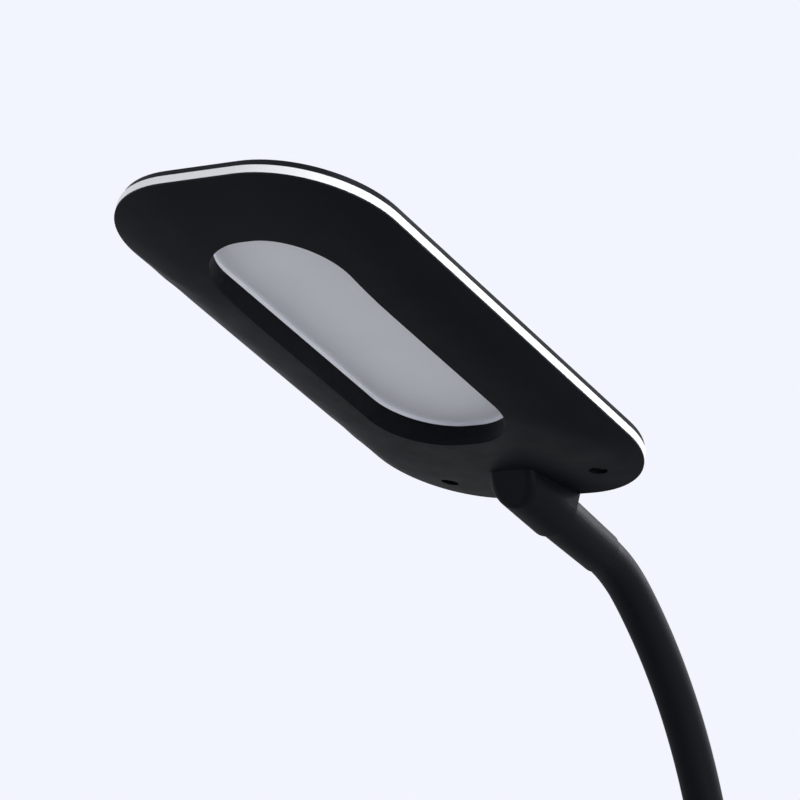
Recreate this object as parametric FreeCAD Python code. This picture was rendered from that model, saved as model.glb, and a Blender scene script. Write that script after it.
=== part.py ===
# Gooseneck LED desk lamp, modelled piece by piece in millimetres.
# Frame: +Z up, the head's tip and the button towards -Y, symmetric about X = 0.
# The origin is the centre of the base's underside, on the table.

import FreeCAD
import Part
import math
import os

from FreeCAD import Placement, Rotation, Vector

os.makedirs("parts", exist_ok=True)

# Running and assembly clearances
RUN_GAP = 0.05
FIT_GAP = 0.2
SWEEP_GAP = 0.35

# Base
BASE_WIDTH = 110.0
BASE_DEPTH = 150.0
BASE_CORNER = 31.0
BASE_TOP_Z = 22.0
BASE_WALL = 2.2
BASE_EDGE_FILLET = 5.0
PAD_THICKNESS = 1.5
PAD_MARGIN = 6.0
FLOOR_THICKNESS = 1.8
BALLAST_THICKNESS = 5.5
BALLAST_MARGIN = 9.0
BASE_SCREW_INSET_X = 22.0
BASE_SCREW_INSET_Y = 24.0
BASE_BOSS_RADIUS = 4.0
SCREW_SHANK_RADIUS = 1.4
SCREW_HEAD_RADIUS = 2.6
SCREW_HEAD_HEIGHT = 1.0

# Power button and the board below it
BUTTON_Y = -42.0
BUTTON_RADIUS = 8.0
BUTTON_PROUD = 0.8
BUTTON_TRAVEL = 1.0
BUTTON_FLANGE = 1.4
BUTTON_FLANGE_THICKNESS = 1.2
BUTTON_STEM_RADIUS = 2.0
BOARD_WIDTH = 46.0
BOARD_DEPTH = 34.0
BOARD_THICKNESS = 1.6
BOARD_DROP = 6.2
BOARD_SCREW_INSET = 4.0
BOARD_BOSS_RADIUS = 2.6
BOARD_SCREW_RADIUS = 1.0
SWITCH_SIZE = 6.0
SWITCH_BODY_HEIGHT = 2.6
SWITCH_PLUNGER_RADIUS = 1.7
BOOT_WALL = 1.0

# Power inlet at the back
INLET_WIDTH = 9.0
INLET_HEIGHT = 3.2
INLET_LENGTH = 7.4
INLET_WALL = 0.35
INLET_BOARD_WIDTH = 18.0
INLET_BOARD_DEPTH = 12.0
INLET_BOARD_THICKNESS = 1.2
INLET_POST_HEIGHT = 6.4
INLET_POST_RADIUS = 2.4

# Gooseneck: each link's centreline length and the angle it turns forwards
NECK_Y = 42.0
NECK_LINKS = (
    (33.0, 0.0),
    (33.0, 0.0),
    (33.0, 0.0),
    (33.0, 5.4),
    (33.0, 8.0),
    (33.0, 10.0),
    (33.0, 11.2),
    (33.0, 11.4),
    (20.0, 22.44),
)
SKIN_RADIUS = 6.0
SKIN_WALL = 0.95
CORE_RADIUS = 4.85
BALL_RADIUS = 3.5
BALL_NECK_RADIUS = 2.5
BALL_MOUTH_START = 0.8
BALL_MOUTH_RADIUS = 2.65
SOCKET_LIP = 1.0
SHOULDER_DROP = 3.4
NECK_BORE_RADIUS = 1.7
LEAD_RADIUS = 1.2
LEAD_END_GAP = 0.5

# Neck root on the base
COLLAR_HEIGHT = 22.0
COLLAR_FOOT_RADIUS = 13.0
COLLAR_TOP_RADIUS = 7.2
COLLAR_LIP_FILLET = 1.0
COLLAR_MOUTH_RADIUS = 5.8
COLLAR_MOUTH_DEPTH = 4.5
ROOT_FLANGE_RADIUS = 9.5
ROOT_FLANGE_HEIGHT = 2.5
STEM_RADIUS = 6.0
STEM_DROP = 7.0
NUT_ACROSS_FLATS = 17.0
NUT_HEIGHT = 4.6
NUT_FLANGE_RADIUS = 11.0
NUT_FLANGE_HEIGHT = 1.4

# Neck end, where the head turns
SLEEVE_LENGTH = 27.0
SLEEVE_RADIUS = 7.05
SLEEVE_LIP_RADIUS = 6.45
SLEEVE_LIP_FILLET = 0.45
HEAD_END_GAP = 0.3
SPIGOT_RADIUS = 4.2
BEARING_LENGTH = 8.0
FRICTION_WASHER_THICKNESS = 0.8
RING_THICKNESS = 1.0
RING_GROOVE_DEPTH = 0.6
RING_RADIUS = 5.6
SPIGOT_TAIL = 1.4

# Head: plan outline and the stack from the light band down and up
HEAD_LENGTH = 182.3
HEAD_WIDTH = 86.0
HEAD_CORNER = 31.1
BAND_HEIGHT = 2.25
BAND_WIDTH = 3.6
BAND_LIP_HEIGHT = 0.6
BAND_LIP_WIDTH = 1.2
COVER_HEIGHT = 2.1
COVER_INSET = 0.7
COVER_SKIN = 1.2
COVER_EDGE_FILLET = 0.35
HOUSING_DEPTH = 8.7
HOUSING_WALL = 1.8
HOUSING_LAND = 0.45

# Dish of the underside: how fast it falls from the rim, and the grid it is drawn on
DISH_POWER_ALONG = 2.64
DISH_POWER_ACROSS = 3.14
DISH_OVERRUN = 3.0
DISH_COLUMNS = 20
DISH_ROWS = 36

# Light pocket under the head
POCKET_START = 45.9
POCKET_LENGTH = 111.9
POCKET_WIDTH = 43.2
POCKET_CORNER = 19.85
POCKET_WALL = 1.6
POCKET_TOP_Z = -1.3
DIFFUSER_STEP = 1.1
DIFFUSER_THICKNESS = 1.0
DIFFUSER_FLANGE = 2.2
GUIDE_THICKNESS = 1.2
GUIDE_MARGIN = 1.4
REFLECTOR_THICKNESS = 0.2
SPREADER_THICKNESS = 0.8
SPREADER_SKIRT = 5.0
STRIP_THICKNESS = 1.0
STRIP_LENGTH = 72.0
STRIP_HEIGHT = 4.4
LED_COUNT = 12
LED_SIZE = 2.8
LED_DEPTH = 1.4
LED_HEIGHT = 1.0

# Neck boss moulded under the head's back end
BOSS_AXIS_DEPTH = 5.8
BOSS_RADIUS = 7.95
BOSS_START = 25.4
BOSS_FACE_ANGLE = 52.0
BOSS_EDGE_FILLET = 2.6
BOSS_CAVITY_RADIUS = 6.2

# Screws that close the head
HEAD_SCREW_U = 17.9
HEAD_SCREW_SPACING = 51.0
HEAD_SCREW_HEAD_RADIUS = 2.3
HEAD_SCREW_HEAD_HEIGHT = 1.1
HEAD_SCREW_SHANK_RADIUS = 1.1
HEAD_SCREW_LENGTH = 3.8
COUNTERBORE_RADIUS = 2.65
COUNTERBORE_SEAT_Z = -0.9
SEAT_THICKNESS = 0.9
HEAD_BOSS_RADIUS = 4.2
COVER_BOSS_RADIUS = 2.6

# Insulated leads inside the base and the head
WIRE_RADIUS = 0.65
BASE_WIRE_RADIUS = 1.2

# Levels in the base, from the table up
FLOOR_Z = PAD_THICKNESS
BALLAST_Z = FLOOR_Z + FLOOR_THICKNESS
BALLAST_TOP_Z = BALLAST_Z + BALLAST_THICKNESS
CEILING_Z = BASE_TOP_Z - BASE_WALL
BOARD_TOP_Z = CEILING_Z - BOARD_DROP
BOARD_Z = BOARD_TOP_Z - BOARD_THICKNESS
NECK_ROOT_Z = BASE_TOP_Z + COLLAR_HEIGHT
SOCKET_RADIUS = BALL_RADIUS + SWEEP_GAP

X_AXIS = Vector(1, 0, 0)
Y_AXIS = Vector(0, 1, 0)
Z_AXIS = Vector(0, 0, 1)
ORIGIN = Vector(0, 0, 0)


def save(name, shape):
    """Write one named piece."""
    shape.exportStep("parts/" + name + ".step")


def rounded_wire(length, width, radius, z, centre_y=0.0):
    """Rounded rectangle in plan, length along Y and width along X."""
    hx = width / 2
    hy = length / 2
    corners = (
        (hx - radius, centre_y + hy - radius, 0),
        (-hx + radius, centre_y + hy - radius, 90),
        (-hx + radius, centre_y - hy + radius, 180),
        (hx - radius, centre_y - hy + radius, 270),
    )
    arcs = []
    for cx, cy, start in corners:
        circle = Part.Circle(Vector(cx, cy, z), Z_AXIS, radius)
        arcs.append(circle.toShape(math.radians(start), math.radians(start + 90)))
    edges = []
    for k, arc in enumerate(arcs):
        following = arcs[(k + 1) % 4]
        edges.append(arc)
        edges.append(Part.makeLine(arc.lastVertex().Point, following.firstVertex().Point))
    return Part.Wire(edges)


def rounded_block(length, width, radius, z0, z1, centre_y=0.0):
    """Rounded rectangle in plan, raised from z0 to z1."""
    face = Part.Face(rounded_wire(length, width, radius, z0, centre_y))
    return face.extrude(Vector(0, 0, z1 - z0))


def cylinder(radius, z0, z1, x=0.0, y=0.0):
    """Upright cylinder from z0 to z1."""
    return Part.makeCylinder(radius, z1 - z0, Vector(x, y, z0))


def box(x0, x1, y0, y1, z0, z1):
    """Box between two corners."""
    return Part.makeBox(x1 - x0, y1 - y0, z1 - z0, Vector(x0, y0, z0))


def fuse(shapes):
    """One solid from several that touch."""
    result = shapes[0].multiFuse(shapes[1:]) if len(shapes) > 1 else shapes[0]
    return result.removeSplitter()


def routed_lead(points, radius, bend):
    """Round lead through the points, with an arc of the bend radius at each corner."""
    edges = []
    start = points[0]
    for before, corner, after in zip(points, points[1:], points[2:]):
        back = (before - corner).normalize()
        ahead = (after - corner).normalize()
        half = back.getAngle(ahead) / 2
        reach = bend / math.tan(half)
        entry = corner + back * reach
        leave = corner + ahead * reach
        bisector = (back + ahead).normalize()
        middle = corner + bisector * (bend / math.sin(half) - bend)
        edges.append(Part.makeLine(start, entry))
        edges.append(Part.Arc(entry, middle, leave).toShape())
        start = leave
    edges.append(Part.makeLine(start, points[-1]))
    path = Part.Wire(edges)
    heading = points[1] - points[0]
    section = Part.Wire([Part.makeCircle(radius, points[0], heading)])
    return path.makePipeShell([section], True, False)


# Base

def base_top_shell():
    """Moulded cover with its screw bosses, board bosses and openings."""
    outer = rounded_block(BASE_DEPTH, BASE_WIDTH, BASE_CORNER, FLOOR_Z, BASE_TOP_Z)
    rim = [e for e in outer.Edges if min(v.Z for v in e.Vertexes) > BASE_TOP_Z - 0.1]
    outer = outer.makeFillet(BASE_EDGE_FILLET, rim)
    inner = rounded_block(
        BASE_DEPTH - 2 * BASE_WALL, BASE_WIDTH - 2 * BASE_WALL, BASE_CORNER - BASE_WALL,
        FLOOR_Z, CEILING_Z,
    )
    roof = [e for e in inner.Edges if min(v.Z for v in e.Vertexes) > CEILING_Z - 0.1]
    inner = inner.makeFillet(BASE_EDGE_FILLET - BASE_WALL, roof)
    shell = outer.cut(inner)
    bosses = [cylinder(BASE_BOSS_RADIUS, BALLAST_TOP_Z, CEILING_Z + BASE_WALL / 2, x, y)
              for x, y in base_screw_places()]
    bosses += [cylinder(BOARD_BOSS_RADIUS, BOARD_TOP_Z, CEILING_Z + BASE_WALL / 2, x, y)
               for x, y in board_screw_places()]
    shell = shell.multiFuse(bosses)
    pilots = [cylinder(SCREW_SHANK_RADIUS + RUN_GAP, BALLAST_TOP_Z, CEILING_Z, x, y)
              for x, y in base_screw_places()]
    pilots += [cylinder(BOARD_SCREW_RADIUS + RUN_GAP, BOARD_TOP_Z, CEILING_Z, x, y)
               for x, y in board_screw_places()]
    button_hole = cylinder(BUTTON_RADIUS + FIT_GAP, CEILING_Z - 1, BASE_TOP_Z + 1, 0, BUTTON_Y)
    neck_hole = cylinder(STEM_RADIUS + FIT_GAP, CEILING_Z - 1, BASE_TOP_Z + 1, 0, NECK_Y)
    slot = inlet_body(FIT_GAP).extrude(Vector(0, BASE_WALL + 2, 0))
    return shell.cut(Part.makeCompound(pilots + [button_hole, neck_hole, slot])).removeSplitter()


def base_screw_places():
    """Four screws near the corners."""
    x = BASE_WIDTH / 2 - BASE_SCREW_INSET_X
    y = BASE_DEPTH / 2 - BASE_SCREW_INSET_Y
    return [(sx * x, sy * y) for sx in (-1, 1) for sy in (-1, 1)]


def board_screw_places():
    """Four small screws at the board's corners."""
    x = BOARD_WIDTH / 2 - BOARD_SCREW_INSET
    y = BOARD_DEPTH / 2 - BOARD_SCREW_INSET
    return [(sx * x, BUTTON_Y + sy * y) for sx in (-1, 1) for sy in (-1, 1)]


def base_floor():
    """Bottom plate inside the shell's skirt, with recesses for the screw heads."""
    margin = BASE_WALL + FIT_GAP
    plate = rounded_block(
        BASE_DEPTH - 2 * margin, BASE_WIDTH - 2 * margin, BASE_CORNER - margin,
        FLOOR_Z, BALLAST_Z,
    )
    posts = [cylinder(INLET_POST_RADIUS, BALLAST_Z - 0.5, inlet_board_z(),
                      side * inlet_post_x(), inlet_board_y())
             for side in (-1, 1)]
    plate = plate.multiFuse(posts)
    holes = []
    for x, y in base_screw_places():
        holes.append(cylinder(SCREW_HEAD_RADIUS + FIT_GAP, FLOOR_Z, FLOOR_Z + SCREW_HEAD_HEIGHT, x, y))
        holes.append(cylinder(SCREW_SHANK_RADIUS + FIT_GAP, FLOOR_Z, BALLAST_Z, x, y))
    return plate.cut(Part.makeCompound(holes)).removeSplitter()


def ballast_plate():
    """Steel weight lying on the floor plate."""
    plate = rounded_block(
        BASE_DEPTH - 2 * (BASE_WALL + BALLAST_MARGIN), BASE_WIDTH - 2 * (BASE_WALL + BALLAST_MARGIN),
        BASE_CORNER - BALLAST_MARGIN, BALLAST_Z, BALLAST_TOP_Z,
    )
    holes = [cylinder(SCREW_SHANK_RADIUS + FIT_GAP, BALLAST_Z, BALLAST_TOP_Z, x, y)
             for x, y in base_screw_places()]
    return plate.cut(Part.makeCompound(holes))


def base_screws():
    """Screws from below, through the floor and the weight into the shell's bosses."""
    screws = []
    for x, y in base_screw_places():
        head = cylinder(SCREW_HEAD_RADIUS, FLOOR_Z, FLOOR_Z + SCREW_HEAD_HEIGHT, x, y)
        shank = cylinder(SCREW_SHANK_RADIUS, FLOOR_Z, CEILING_Z - 1, x, y)
        screws.append(fuse([head, shank]))
    return Part.makeCompound(screws)


def anti_slip_pad():
    """Soft pad glued under the floor plate."""
    return rounded_block(
        BASE_DEPTH - 2 * PAD_MARGIN, BASE_WIDTH - 2 * PAD_MARGIN, BASE_CORNER - PAD_MARGIN,
        0, PAD_THICKNESS,
    )


# Power button

def power_button():
    """Round push button with its retaining flange and stem."""
    cap = cylinder(BUTTON_RADIUS, CEILING_Z - FIT_GAP, BASE_TOP_Z + BUTTON_PROUD, 0, BUTTON_Y)
    top = [e for e in cap.Edges if e.BoundBox.ZMin > BASE_TOP_Z]
    cap = cap.makeFillet(BUTTON_PROUD * 0.6, top)
    flange = cylinder(
        BUTTON_RADIUS + BUTTON_FLANGE, CEILING_Z - FIT_GAP - BUTTON_FLANGE_THICKNESS,
        CEILING_Z - FIT_GAP, 0, BUTTON_Y,
    )
    stem = cylinder(BUTTON_STEM_RADIUS, stem_end_z(), CEILING_Z - FIT_GAP, 0, BUTTON_Y)
    return fuse([cap, flange, stem])


def stem_end_z():
    """Height of the stem's lower end, one travel above the switch's plunger."""
    return BOARD_TOP_Z + SWITCH_BODY_HEIGHT + BUTTON_TRAVEL + FIT_GAP


def tactile_switch():
    """Switch body on the board, with its plunger."""
    half = SWITCH_SIZE / 2
    body = box(-half, half, BUTTON_Y - half, BUTTON_Y + half,
               BOARD_TOP_Z, BOARD_TOP_Z + SWITCH_BODY_HEIGHT)
    plunger_top = stem_end_z() - BUTTON_TRAVEL - RUN_GAP
    plunger = cylinder(SWITCH_PLUNGER_RADIUS, BOARD_TOP_Z, plunger_top, 0, BUTTON_Y)
    return fuse([body, plunger])


def button_return_boot():
    """Silicone ring round the switch that pushes the button back up."""
    inner = SWITCH_SIZE / math.sqrt(2) + SWEEP_GAP
    top = CEILING_Z - FIT_GAP - BUTTON_FLANGE_THICKNESS
    foot = (inner + 2 * BOOT_WALL, BOARD_TOP_Z)
    profile = [
        Vector(inner, BUTTON_Y, BOARD_TOP_Z),
        Vector(foot[0], BUTTON_Y, foot[1]),
        Vector(inner + BOOT_WALL, BUTTON_Y, top),
        Vector(inner, BUTTON_Y, top),
        Vector(inner, BUTTON_Y, BOARD_TOP_Z),
    ]
    face = Part.Face(Part.makePolygon(profile))
    return face.revolve(Vector(0, BUTTON_Y, 0), Z_AXIS, 360)


def control_board():
    """Circuit board screwed under the shell's ceiling."""
    hx = BOARD_WIDTH / 2
    hy = BOARD_DEPTH / 2
    board = box(-hx, hx, BUTTON_Y - hy, BUTTON_Y + hy, BOARD_Z, BOARD_TOP_Z)
    holes = [cylinder(BOARD_SCREW_RADIUS + RUN_GAP, BOARD_Z, BOARD_TOP_Z, x, y)
             for x, y in board_screw_places()]
    return board.cut(Part.makeCompound(holes))


def board_components():
    """Inductor, capacitors and driver chips on the board's top."""
    parts = [cylinder(3.0, BOARD_TOP_Z, BOARD_TOP_Z + 3.2, 14.0, BUTTON_Y + 4)]
    for x, y, width, depth, height in (
        (-14.0, 3.0, 5.0, 6.2, 1.6),
        (-14.0, -8.0, 3.0, 3.0, 1.0),
        (14.0, -7.0, 4.0, 5.0, 1.6),
    ):
        parts.append(box(x - width / 2, x + width / 2, BUTTON_Y + y - depth / 2,
                         BUTTON_Y + y + depth / 2, BOARD_TOP_Z, BOARD_TOP_Z + height))
    return Part.makeCompound(parts)


def board_screws():
    """Small pan-head screws that hold the board up."""
    screws = []
    for x, y in board_screw_places():
        head = cylinder(2 * BOARD_SCREW_RADIUS, BOARD_Z - 1.1, BOARD_Z, x, y)
        shank = cylinder(BOARD_SCREW_RADIUS, BOARD_Z - 1.1, CEILING_Z - 1, x, y)
        screws.append(fuse([head, shank]))
    return Part.makeCompound(screws)


# Power inlet

def inlet_board_y():
    """Centre of the inlet's board, just inside the back wall."""
    return BASE_DEPTH / 2 - BASE_WALL - FIT_GAP - INLET_BOARD_DEPTH / 2


def inlet_board_z():
    """Underside of the inlet's board, on its posts."""
    return BALLAST_Z + INLET_POST_HEIGHT


def inlet_post_x():
    """Distance of the board's posts from the middle."""
    return INLET_BOARD_WIDTH / 2 - INLET_POST_RADIUS


def inlet_body(grow):
    """Plan-flat stadium of the inlet's mouth, as a face looking along Y."""
    width = INLET_WIDTH + 2 * grow
    height = INLET_HEIGHT + 2 * grow
    z = inlet_board_z() + INLET_BOARD_THICKNESS + INLET_HEIGHT / 2
    radius = height / 2
    y = BASE_DEPTH / 2 - BASE_WALL - 1
    left = Part.Circle(Vector(-width / 2 + radius, y, z), Y_AXIS, radius)
    right = Part.Circle(Vector(width / 2 - radius, y, z), Y_AXIS, radius)
    bar = Part.Face(Part.makePolygon([
        Vector(-width / 2 + radius, y, z - radius), Vector(width / 2 - radius, y, z - radius),
        Vector(width / 2 - radius, y, z + radius), Vector(-width / 2 + radius, y, z + radius),
        Vector(-width / 2 + radius, y, z - radius),
    ]))
    ends = [Part.Face(Part.Wire([c.toShape()])) for c in (left, right)]
    return fuse([bar] + ends)


def power_inlet():
    """Metal shell of the USB-C socket, with its contact tongue."""
    outside = inlet_body(0).extrude(Vector(0, -INLET_LENGTH, 0))
    outside.translate(Vector(0, BASE_WALL + 1, 0))
    inside = inlet_body(-INLET_WALL).extrude(Vector(0, -INLET_LENGTH + 1, 0))
    inside.translate(Vector(0, BASE_WALL + 1, 0))
    z = inlet_board_z() + INLET_BOARD_THICKNESS + INLET_HEIGHT / 2
    back = BASE_DEPTH / 2
    tongue = box(-3.2, 3.2, back - INLET_LENGTH, back - 1.5, z - 0.35, z + 0.35)
    return fuse([outside.cut(inside), tongue])


def inlet_board():
    """Small board that carries the inlet."""
    hx = INLET_BOARD_WIDTH / 2
    y = inlet_board_y()
    z = inlet_board_z()
    return box(-hx, hx, y - INLET_BOARD_DEPTH / 2, y + INLET_BOARD_DEPTH / 2, z, z + INLET_BOARD_THICKNESS)


def base_leads():
    """Leads from the inlet to the board and from the board up into the neck."""
    board_edge = BUTTON_Y + BOARD_DEPTH / 2
    run_z = BALLAST_TOP_Z + BASE_WIRE_RADIUS + FIT_GAP
    inlet_edge = inlet_board_y() - INLET_BOARD_DEPTH / 2
    supply = routed_lead(
        [
            Vector(6.0, inlet_edge, inlet_board_z() + BASE_WIRE_RADIUS),
            Vector(6.0, inlet_edge - 5, inlet_board_z() + BASE_WIRE_RADIUS),
            Vector(16.0, NECK_Y - 12, run_z + 1.0),
            Vector(16.0, board_edge + 8, run_z + 1.0),
            Vector(12.0, board_edge + 1, BOARD_Z + BOARD_THICKNESS / 2),
        ],
        WIRE_RADIUS, 4.0,
    )
    output = routed_lead(
        [
            Vector(0, board_edge, BOARD_Z),
            Vector(0, board_edge + 10, run_z + 0.6),
            Vector(0, NECK_Y, run_z + 0.2),
            Vector(0, NECK_Y, NECK_ROOT_Z - LEAD_END_GAP),
        ],
        BASE_WIRE_RADIUS, 3.0,
    )
    return Part.makeCompound([supply, output])


# Gooseneck

def neck_frames():
    """Placement of each joint of the neck, from the root up to the neck's end."""
    frames = [Placement(Vector(0, NECK_Y, NECK_ROOT_Z), Rotation())]
    for length, turn in NECK_LINKS:
        frames.append(frames[-1].multiply(link_step(length, turn)))
    return frames


def link_step(length, turn):
    """Move from a link's lower joint to its upper one: an arc that leans towards -Y."""
    if turn == 0:
        return Placement(Vector(0, 0, length), Rotation())
    angle = math.radians(turn)
    radius = length / angle
    shift = Vector(0, radius * math.cos(angle) - radius, radius * math.sin(angle))
    return Placement(shift, Rotation(X_AXIS, turn))


def bent_rod(radius, length, turn, start=0.0, stop=None):
    """Round rod along a link's centreline, between two distances from its lower joint."""
    if stop is None:
        stop = length
    if turn == 0:
        return cylinder(radius, start, stop)
    bend = length / math.radians(turn)
    face = Part.Face(Part.Wire([Part.makeCircle(radius, ORIGIN, Z_AXIS)]))
    face.rotate(Vector(0, -bend, 0), X_AXIS, turn * start / length)
    return face.revolve(Vector(0, -bend, 0), X_AXIS, turn * (stop - start) / length)


def ball_end(frame):
    """Ball with its short neck, at a link's upper joint."""
    ball = Part.makeSphere(BALL_RADIUS)
    neck = cylinder(BALL_NECK_RADIUS, -SHOULDER_DROP - 0.6, 0)
    end = ball.fuse(neck)
    end.Placement = frame
    return end


def ball_bore(frame):
    """Way through a ball for the lead, widened upwards so that the lead can tilt."""
    way = cylinder(NECK_BORE_RADIUS, 0, BALL_RADIUS)
    mouth = Part.makeCone(NECK_BORE_RADIUS, BALL_MOUTH_RADIUS, BALL_RADIUS - BALL_MOUTH_START,
                          Vector(0, 0, BALL_MOUTH_START))
    way = way.fuse(mouth)
    way.Placement = frame
    return way


def socket_cut():
    """Hollow of a link's lower end: the ball's seat and the way in for the lead."""
    seat = Part.makeSphere(SOCKET_RADIUS)
    mouth = cylinder(math.sqrt(SOCKET_RADIUS ** 2 - SOCKET_LIP ** 2), -SOCKET_LIP - 1, -SOCKET_LIP)
    return seat.fuse(mouth)


def core_link(length, turn):
    """One stretch of the neck's steel core: a socket below and a ball above."""
    top = link_step(length, turn)
    body = bent_rod(CORE_RADIUS, length, turn, 0, length - SHOULDER_DROP)
    foot = cylinder(CORE_RADIUS, -SOCKET_LIP, 0)
    solid = body.multiFuse([foot, ball_end(top)])
    bore = bent_rod(NECK_BORE_RADIUS, length, turn).fuse(ball_bore(top))
    return solid.cut(socket_cut()).cut(bore).removeSplitter()


def skin_link(length, turn):
    """One stretch of the neck's silicone skin, end to end with the next."""
    outer = bent_rod(SKIN_RADIUS, length, turn)
    return outer.cut(bent_rod(SKIN_RADIUS - SKIN_WALL, length, turn))


def lead_link(length, turn):
    """One stretch of the lead inside the neck."""
    return bent_rod(LEAD_RADIUS, length, turn, LEAD_END_GAP, length - LEAD_END_GAP)


def neck_root_fitting():
    """Steel stem through the base, with a flange above and the first ball on top."""
    flange = cylinder(ROOT_FLANGE_RADIUS, BASE_TOP_Z, BASE_TOP_Z + ROOT_FLANGE_HEIGHT, 0, NECK_Y)
    stem = cylinder(STEM_RADIUS, CEILING_Z - STEM_DROP, BASE_TOP_Z, 0, NECK_Y)
    column = cylinder(CORE_RADIUS, BASE_TOP_Z, NECK_ROOT_Z - SHOULDER_DROP, 0, NECK_Y)
    top = Placement(Vector(0, NECK_Y, NECK_ROOT_Z), Rotation())
    bore = cylinder(NECK_BORE_RADIUS, CEILING_Z - STEM_DROP, NECK_ROOT_Z, 0, NECK_Y)
    return fuse([stem, flange, column, ball_end(top)]).cut(bore.fuse(ball_bore(top)))


def neck_base_collar():
    """Flared cover over the neck's root."""
    top = NECK_ROOT_Z
    foot = BASE_TOP_Z
    flange_r = ROOT_FLANGE_RADIUS + FIT_GAP
    flange_z = foot + ROOT_FLANGE_HEIGHT + FIT_GAP
    inner = CORE_RADIUS + FIT_GAP
    y = NECK_Y
    waist = foot + COLLAR_HEIGHT * 0.4
    flare = Part.Arc(
        Vector(0, y + COLLAR_FOOT_RADIUS, foot + 2.0),
        Vector(0, y + (COLLAR_FOOT_RADIUS + 2.6 * COLLAR_TOP_RADIUS) / 3.6, foot + COLLAR_HEIGHT * 0.22),
        Vector(0, y + COLLAR_TOP_RADIUS, waist + COLLAR_HEIGHT * 0.25),
    ).toShape()
    chain = [
        Vector(0, y + COLLAR_TOP_RADIUS, waist + COLLAR_HEIGHT * 0.25),
        Vector(0, y + COLLAR_TOP_RADIUS, top),
        Vector(0, y + COLLAR_MOUTH_RADIUS, top),
        Vector(0, y + COLLAR_MOUTH_RADIUS, top - COLLAR_MOUTH_DEPTH),
        Vector(0, y + inner, top - COLLAR_MOUTH_DEPTH),
        Vector(0, y + inner, flange_z),
        Vector(0, y + flange_r, flange_z),
        Vector(0, y + flange_r, foot),
        Vector(0, y + COLLAR_FOOT_RADIUS, foot),
        Vector(0, y + COLLAR_FOOT_RADIUS, foot + 2.0),
    ]
    outline = Part.Wire([flare] + [Part.makeLine(a, b) for a, b in zip(chain, chain[1:])])
    collar = Part.Face(outline).revolve(Vector(0, NECK_Y, 0), Z_AXIS, 360)
    lip = [e for e in collar.Edges
           if e.BoundBox.ZMin > top - 0.01 and e.BoundBox.XLength > 2 * COLLAR_TOP_RADIUS - 0.1]
    return collar.makeFillet(COLLAR_LIP_FILLET, lip)


def neck_anchor_nut():
    """Flanged hexagon nut that pulls the neck's root down on the base."""
    corner = NUT_ACROSS_FLATS / math.sqrt(3)
    spokes = [Rotation(Z_AXIS, 60 * k).multVec(Vector(corner, 0, 0)) for k in range(7)]
    nut = Part.Face(Part.makePolygon(spokes)).extrude(Vector(0, 0, NUT_HEIGHT))
    nut.translate(Vector(0, NECK_Y, CEILING_Z - NUT_HEIGHT))
    flange = cylinder(NUT_FLANGE_RADIUS, CEILING_Z - NUT_FLANGE_HEIGHT, CEILING_Z, 0, NECK_Y)
    thread = cylinder(STEM_RADIUS + RUN_GAP, CEILING_Z - NUT_HEIGHT - 1, CEILING_Z + 1, 0, NECK_Y)
    return nut.fuse(flange).cut(thread).removeSplitter()


# Neck end, in a frame whose +Z runs from the last joint along the head's turning axis

def spigot_front():
    """Distance from the last joint to the spigot's front face."""
    return SLEEVE_LENGTH + BEARING_LENGTH + FRICTION_WASHER_THICKNESS + RING_THICKNESS + SPIGOT_TAIL


def ring_start():
    """Distance from the last joint to the retaining ring's back face."""
    return SLEEVE_LENGTH + BEARING_LENGTH + FRICTION_WASHER_THICKNESS


def neck_end_fitting():
    """Steel end piece: the last socket, a column and the spigot the head turns on."""
    socket = cylinder(CORE_RADIUS, -SOCKET_LIP, SLEEVE_LENGTH - HEAD_END_GAP)
    spigot = cylinder(SPIGOT_RADIUS, 0, spigot_front())
    solid = socket.fuse(spigot).cut(socket_cut())
    groove = cylinder(SPIGOT_RADIUS + 1, ring_start(), ring_start() + RING_THICKNESS)
    groove = groove.cut(cylinder(SPIGOT_RADIUS - RING_GROOVE_DEPTH, 0, spigot_front()))
    bore = cylinder(NECK_BORE_RADIUS, 0, spigot_front() + 1)
    return solid.cut(groove).cut(bore).removeSplitter()


def neck_top_sleeve():
    """Soft-touch tapered sleeve over the neck's end, rounded where the neck leaves it."""
    outer = Part.makeCone(SLEEVE_LIP_RADIUS, SLEEVE_RADIUS, SLEEVE_LENGTH - HEAD_END_GAP)
    lip = [e for e in outer.Edges if e.BoundBox.ZMax < 0.1]
    outer = outer.makeFillet(SLEEVE_LIP_FILLET, lip)
    return outer.cut(cylinder(CORE_RADIUS + RUN_GAP, -1, SLEEVE_LENGTH))


def swivel_washer():
    """Friction washer between the head's boss and the retaining ring."""
    start = SLEEVE_LENGTH + BEARING_LENGTH + RUN_GAP
    ring = cylinder(RING_RADIUS, start, ring_start() - RUN_GAP)
    return ring.cut(cylinder(SPIGOT_RADIUS + RUN_GAP, 0, spigot_front()))


def swivel_retaining_ring():
    """Snap ring in the spigot's groove, open on one side."""
    start = ring_start()
    ring = cylinder(RING_RADIUS, start + RUN_GAP, start + RING_THICKNESS - RUN_GAP)
    ring = ring.cut(cylinder(SPIGOT_RADIUS - RING_GROOVE_DEPTH + RUN_GAP, 0, spigot_front()))
    return ring.cut(box(-1.5, 1.5, 0, RING_RADIUS + 1, start - 1, start + 2))


def end_lead():
    """Lead through the neck's end piece."""
    return cylinder(LEAD_RADIUS, LEAD_END_GAP, spigot_front())


# Head, in a frame with the back end at y = 0, the tip at y = -HEAD_LENGTH
# and z = 0 on the lower face of the light band

def head_outline(inset, z0, z1):
    """Block with the head's plan outline, drawn in by an inset."""
    return rounded_block(
        HEAD_LENGTH - 2 * inset, HEAD_WIDTH - 2 * inset, HEAD_CORNER - inset,
        z0, z1, -HEAD_LENGTH / 2,
    )


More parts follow.
